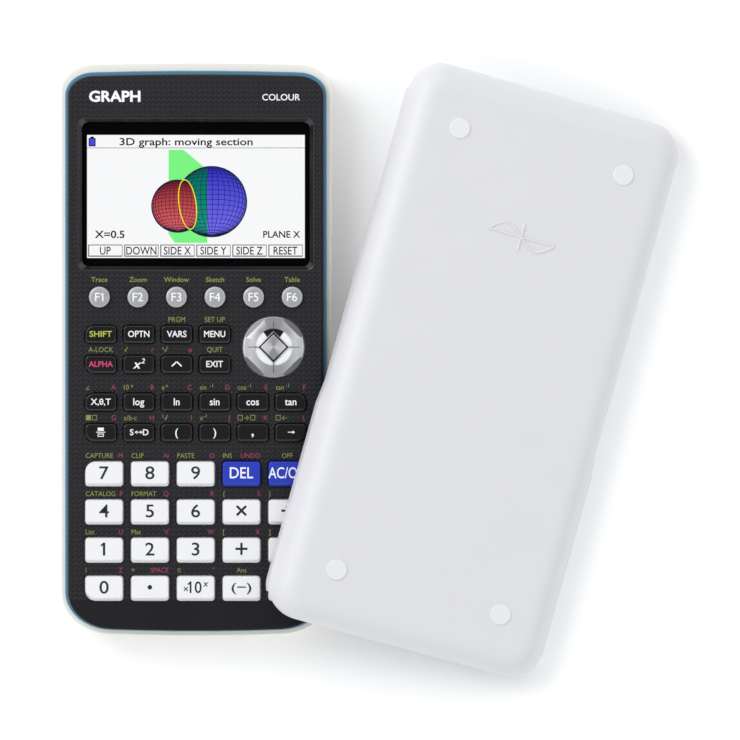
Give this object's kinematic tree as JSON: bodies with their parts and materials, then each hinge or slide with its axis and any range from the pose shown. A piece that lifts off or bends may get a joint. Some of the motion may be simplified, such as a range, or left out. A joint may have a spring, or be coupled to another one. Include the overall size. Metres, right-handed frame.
{
  "type": "graphing calculator",
  "caption": "Handheld graphing calculator with colour display, sprung keys, rocking cursor pad, removable battery door and a slide-on hard cover leaning beside it.",
  "frame": {"origin": "centre of the calculator's flat back, which lies on the ground plane", "axes": "+X to the calculator's right, +Y towards its display end, +Z out of its face"},
  "size_m": [0.2029, 0.2019, 0.03],
  "materials": {
    "case_ivory": "satin moulded plastic",
    "cover_white": "fine satin moulded plastic",
    "trim_blue": "glossy translucent-looking blue",
    "face_black": "fine woven texture",
    "key_black": "satin with printed legends",
    "key_white": "satin with printed legends",
    "key_blue": "satin with printed legends",
    "key_silver": "brushed metallic paint",
    "display_window": "clear polished acrylic",
    "display_module": "liquid crystal panel in a black frame",
    "key_mat": "moulded silicone",
    "circuit_board": "solder-masked laminate",
    "battery_cell": "printed jacket over metal",
    "button_grey": "matt"
  },
  "bodies": {
    "calculator_body": {"rear_case": "case_ivory", "trim_band": "trim_blue", "front_case": "face_black", "display_window": "display_window", "display_module": "display_module", "key_mat": "key_mat", "circuit_board": "circuit_board", "battery_pair_left": "battery_cell", "battery_pair_right": "battery_cell"},
    "battery_door": {"battery_door": "case_ivory"},
    "restart_button": {"restart_button": "button_grey"},
    "key_f1": {"key_f1": "key_silver"},
    "key_f2": {"key_f2": "key_silver"},
    "key_f3": {"key_f3": "key_silver"},
    "key_f4": {"key_f4": "key_silver"},
    "key_f5": {"key_f5": "key_silver"},
    "key_f6": {"key_f6": "key_silver"},
    "key_shift": {"key_shift": "key_black"},
    "key_option": {"key_option": "key_black"},
    "key_vars": {"key_vars": "key_black"},
    "key_menu": {"key_menu": "key_black"},
    "key_alpha": {"key_alpha": "key_black"},
    "key_square": {"key_square": "key_black"},
    "key_power": {"key_power": "key_black"},
    "key_exit": {"key_exit": "key_black"},
    "key_x_theta_t": {"key_x_theta_t": "key_black"},
    "key_log": {"key_log": "key_black"},
    "key_ln": {"key_ln": "key_black"},
    "key_sin": {"key_sin": "key_black"},
    "key_cos": {"key_cos": "key_black"},
    "key_tan": {"key_tan": "key_black"},
    "key_fraction": {"key_fraction": "key_black"},
    "key_convert": {"key_convert": "key_black"},
    "key_paren_open": {"key_paren_open": "key_black"},
    "key_paren_close": {"key_paren_close": "key_black"},
    "key_comma": {"key_comma": "key_black"},
    "key_store": {"key_store": "key_black"},
    "key_7": {"key_7": "key_white"},
    "key_8": {"key_8": "key_white"},
    "key_9": {"key_9": "key_white"},
    "key_delete": {"key_delete": "key_blue"},
    "key_ac_on": {"key_ac_on": "key_blue"},
    "key_4": {"key_4": "key_white"},
    "key_5": {"key_5": "key_white"},
    "key_6": {"key_6": "key_white"},
    "key_multiply": {"key_multiply": "key_white"},
    "key_divide": {"key_divide": "key_white"},
    "key_1": {"key_1": "key_white"},
    "key_2": {"key_2": "key_white"},
    "key_3": {"key_3": "key_white"},
    "key_add": {"key_add": "key_white"},
    "key_subtract": {"key_subtract": "key_white"},
    "key_0": {"key_0": "key_white"},
    "key_point": {"key_point": "key_white"},
    "key_exponent": {"key_exponent": "key_white"},
    "key_negative": {"key_negative": "key_white"},
    "key_execute": {"key_execute": "key_white"},
    "cursor_hub": {"cursor_hub": "key_silver"},
    "cursor_pad": {"cursor_pad": "key_silver"},
    "slide_cover": {"slide_cover": "cover_white"}
  },
  "joints": [
    {"name": "cover_lift", "type": "slide", "parent": "calculator_body", "child": "slide_cover", "axis": [0, 0, 1], "range_m": [0, 0.1]},
    {"name": "battery_door_off", "type": "slide", "parent": "calculator_body", "child": "battery_door", "axis": [0, 0, -1], "range_m": [0, 0.03]},
    {"name": "cursor_rock_up_down", "type": "hinge", "parent": "calculator_body", "child": "cursor_hub", "pos_m": [0.0255, 0.0007, 0.0127], "axis": [1, 0, 0], "range_deg": [-2.5, 2.5], "stiffness_Nm_per_rad": 0.1},
    {"name": "cursor_rock_left_right", "type": "hinge", "parent": "cursor_hub", "child": "cursor_pad", "pos_m": [0.0255, 0.0007, 0.0127], "axis": [0, 1, 0], "range_deg": [-2.5, 2.5], "stiffness_Nm_per_rad": 0.1},
    {"name": "restart_press", "type": "slide", "parent": "calculator_body", "child": "restart_button", "axis": [0, 0, 1], "range_m": [0, 0.0008], "stiffness_N_per_m": 800, "springref_m": -0.0003},
    {"name": "key_f1_press", "type": "slide", "parent": "calculator_body", "child": "key_f1", "axis": [0, 0, -1], "range_m": [0, 0.001], "stiffness_N_per_m": 400, "springref_m": -0.0005},
    {"name": "key_f2_press", "type": "slide", "parent": "calculator_body", "child": "key_f2", "axis": [0, 0, -1], "range_m": [0, 0.001], "stiffness_N_per_m": 400, "springref_m": -0.0005},
    {"name": "key_f3_press", "type": "slide", "parent": "calculator_body", "child": "key_f3", "axis": [0, 0, -1], "range_m": [0, 0.001], "stiffness_N_per_m": 400, "springref_m": -0.0005},
    {"name": "key_f4_press", "type": "slide", "parent": "calculator_body", "child": "key_f4", "axis": [0, 0, -1], "range_m": [0, 0.001], "stiffness_N_per_m": 400, "springref_m": -0.0005},
    {"name": "key_f5_press", "type": "slide", "parent": "calculator_body", "child": "key_f5", "axis": [0, 0, -1], "range_m": [0, 0.001], "stiffness_N_per_m": 400, "springref_m": -0.0005},
    {"name": "key_f6_press", "type": "slide", "parent": "calculator_body", "child": "key_f6", "axis": [0, 0, -1], "range_m": [0, 0.001], "stiffness_N_per_m": 400, "springref_m": -0.0005},
    {"name": "key_shift_press", "type": "slide", "parent": "calculator_body", "child": "key_shift", "axis": [0, 0, -1], "range_m": [0, 0.001], "stiffness_N_per_m": 400, "springref_m": -0.0005},
    {"name": "key_option_press", "type": "slide", "parent": "calculator_body", "child": "key_option", "axis": [0, 0, -1], "range_m": [0, 0.001], "stiffness_N_per_m": 400, "springref_m": -0.0005},
    {"name": "key_vars_press", "type": "slide", "parent": "calculator_body", "child": "key_vars", "axis": [0, 0, -1], "range_m": [0, 0.001], "stiffness_N_per_m": 400, "springref_m": -0.0005},
    {"name": "key_menu_press", "type": "slide", "parent": "calculator_body", "child": "key_menu", "axis": [0, 0, -1], "range_m": [0, 0.001], "stiffness_N_per_m": 400, "springref_m": -0.0005},
    {"name": "key_alpha_press", "type": "slide", "parent": "calculator_body", "child": "key_alpha", "axis": [0, 0, -1], "range_m": [0, 0.001], "stiffness_N_per_m": 400, "springref_m": -0.0005},
    {"name": "key_square_press", "type": "slide", "parent": "calculator_body", "child": "key_square", "axis": [0, 0, -1], "range_m": [0, 0.001], "stiffness_N_per_m": 400, "springref_m": -0.0005},
    {"name": "key_power_press", "type": "slide", "parent": "calculator_body", "child": "key_power", "axis": [0, 0, -1], "range_m": [0, 0.001], "stiffness_N_per_m": 400, "springref_m": -0.0005},
    {"name": "key_exit_press", "type": "slide", "parent": "calculator_body", "child": "key_exit", "axis": [0, 0, -1], "range_m": [0, 0.001], "stiffness_N_per_m": 400, "springref_m": -0.0005},
    {"name": "key_x_theta_t_press", "type": "slide", "parent": "calculator_body", "child": "key_x_theta_t", "axis": [0, 0, -1], "range_m": [0, 0.001], "stiffness_N_per_m": 400, "springref_m": -0.0005},
    {"name": "key_log_press", "type": "slide", "parent": "calculator_body", "child": "key_log", "axis": [0, 0, -1], "range_m": [0, 0.001], "stiffness_N_per_m": 400, "springref_m": -0.0005},
    {"name": "key_ln_press", "type": "slide", "parent": "calculator_body", "child": "key_ln", "axis": [0, 0, -1], "range_m": [0, 0.001], "stiffness_N_per_m": 400, "springref_m": -0.0005},
    {"name": "key_sin_press", "type": "slide", "parent": "calculator_body", "child": "key_sin", "axis": [0, 0, -1], "range_m": [0, 0.001], "stiffness_N_per_m": 400, "springref_m": -0.0005},
    {"name": "key_cos_press", "type": "slide", "parent": "calculator_body", "child": "key_cos", "axis": [0, 0, -1], "range_m": [0, 0.001], "stiffness_N_per_m": 400, "springref_m": -0.0005},
    {"name": "key_tan_press", "type": "slide", "parent": "calculator_body", "child": "key_tan", "axis": [0, 0, -1], "range_m": [0, 0.001], "stiffness_N_per_m": 400, "springref_m": -0.0005},
    {"name": "key_fraction_press", "type": "slide", "parent": "calculator_body", "child": "key_fraction", "axis": [0, 0, -1], "range_m": [0, 0.001], "stiffness_N_per_m": 400, "springref_m": -0.0005},
    {"name": "key_convert_press", "type": "slide", "parent": "calculator_body", "child": "key_convert", "axis": [0, 0, -1], "range_m": [0, 0.001], "stiffness_N_per_m": 400, "springref_m": -0.0005},
    {"name": "key_paren_open_press", "type": "slide", "parent": "calculator_body", "child": "key_paren_open", "axis": [0, 0, -1], "range_m": [0, 0.001], "stiffness_N_per_m": 400, "springref_m": -0.0005},
    {"name": "key_paren_close_press", "type": "slide", "parent": "calculator_body", "child": "key_paren_close", "axis": [0, 0, -1], "range_m": [0, 0.001], "stiffness_N_per_m": 400, "springref_m": -0.0005},
    {"name": "key_comma_press", "type": "slide", "parent": "calculator_body", "child": "key_comma", "axis": [0, 0, -1], "range_m": [0, 0.001], "stiffness_N_per_m": 400, "springref_m": -0.0005},
    {"name": "key_store_press", "type": "slide", "parent": "calculator_body", "child": "key_store", "axis": [0, 0, -1], "range_m": [0, 0.001], "stiffness_N_per_m": 400, "springref_m": -0.0005},
    {"name": "key_7_press", "type": "slide", "parent": "calculator_body", "child": "key_7", "axis": [0, 0, -1], "range_m": [0, 0.001], "stiffness_N_per_m": 400, "springref_m": -0.0005},
    {"name": "key_8_press", "type": "slide", "parent": "calculator_body", "child": "key_8", "axis": [0, 0, -1], "range_m": [0, 0.001], "stiffness_N_per_m": 400, "springref_m": -0.0005},
    {"name": "key_9_press", "type": "slide", "parent": "calculator_body", "child": "key_9", "axis": [0, 0, -1], "range_m": [0, 0.001], "stiffness_N_per_m": 400, "springref_m": -0.0005},
    {"name": "key_delete_press", "type": "slide", "parent": "calculator_body", "child": "key_delete", "axis": [0, 0, -1], "range_m": [0, 0.001], "stiffness_N_per_m": 400, "springref_m": -0.0005},
    {"name": "key_ac_on_press", "type": "slide", "parent": "calculator_body", "child": "key_ac_on", "axis": [0, 0, -1], "range_m": [0, 0.001], "stiffness_N_per_m": 400, "springref_m": -0.0005},
    {"name": "key_4_press", "type": "slide", "parent": "calculator_body", "child": "key_4", "axis": [0, 0, -1], "range_m": [0, 0.001], "stiffness_N_per_m": 400, "springref_m": -0.0005},
    {"name": "key_5_press", "type": "slide", "parent": "calculator_body", "child": "key_5", "axis": [0, 0, -1], "range_m": [0, 0.001], "stiffness_N_per_m": 400, "springref_m": -0.0005},
    {"name": "key_6_press", "type": "slide", "parent": "calculator_body", "child": "key_6", "axis": [0, 0, -1], "range_m": [0, 0.001], "stiffness_N_per_m": 400, "springref_m": -0.0005},
    {"name": "key_multiply_press", "type": "slide", "parent": "calculator_body", "child": "key_multiply", "axis": [0, 0, -1], "range_m": [0, 0.001], "stiffness_N_per_m": 400, "springref_m": -0.0005},
    {"name": "key_divide_press", "type": "slide", "parent": "calculator_body", "child": "key_divide", "axis": [0, 0, -1], "range_m": [0, 0.001], "stiffness_N_per_m": 400, "springref_m": -0.0005},
    {"name": "key_1_press", "type": "slide", "parent": "calculator_body", "child": "key_1", "axis": [0, 0, -1], "range_m": [0, 0.001], "stiffness_N_per_m": 400, "springref_m": -0.0005},
    {"name": "key_2_press", "type": "slide", "parent": "calculator_body", "child": "key_2", "axis": [0, 0, -1], "range_m": [0, 0.001], "stiffness_N_per_m": 400, "springref_m": -0.0005},
    {"name": "key_3_press", "type": "slide", "parent": "calculator_body", "child": "key_3", "axis": [0, 0, -1], "range_m": [0, 0.001], "stiffness_N_per_m": 400, "springref_m": -0.0005},
    {"name": "key_add_press", "type": "slide", "parent": "calculator_body", "child": "key_add", "axis": [0, 0, -1], "range_m": [0, 0.001], "stiffness_N_per_m": 400, "springref_m": -0.0005},
    {"name": "key_subtract_press", "type": "slide", "parent": "calculator_body", "child": "key_subtract", "axis": [0, 0, -1], "range_m": [0, 0.001], "stiffness_N_per_m": 400, "springref_m": -0.0005},
    {"name": "key_0_press", "type": "slide", "parent": "calculator_body", "child": "key_0", "axis": [0, 0, -1], "range_m": [0, 0.001], "stiffness_N_per_m": 400, "springref_m": -0.0005},
    {"name": "key_point_press", "type": "slide", "parent": "calculator_body", "child": "key_point", "axis": [0, 0, -1], "range_m": [0, 0.001], "stiffness_N_per_m": 400, "springref_m": -0.0005},
    {"name": "key_exponent_press", "type": "slide", "parent": "calculator_body", "child": "key_exponent", "axis": [0, 0, -1], "range_m": [0, 0.001], "stiffness_N_per_m": 400, "springref_m": -0.0005},
    {"name": "key_negative_press", "type": "slide", "parent": "calculator_body", "child": "key_negative", "axis": [0, 0, -1], "range_m": [0, 0.001], "stiffness_N_per_m": 400, "springref_m": -0.0005},
    {"name": "key_execute_press", "type": "slide", "parent": "calculator_body", "child": "key_execute", "axis": [0, 0, -1], "range_m": [0, 0.001], "stiffness_N_per_m": 400, "springref_m": -0.0005}
  ]
}
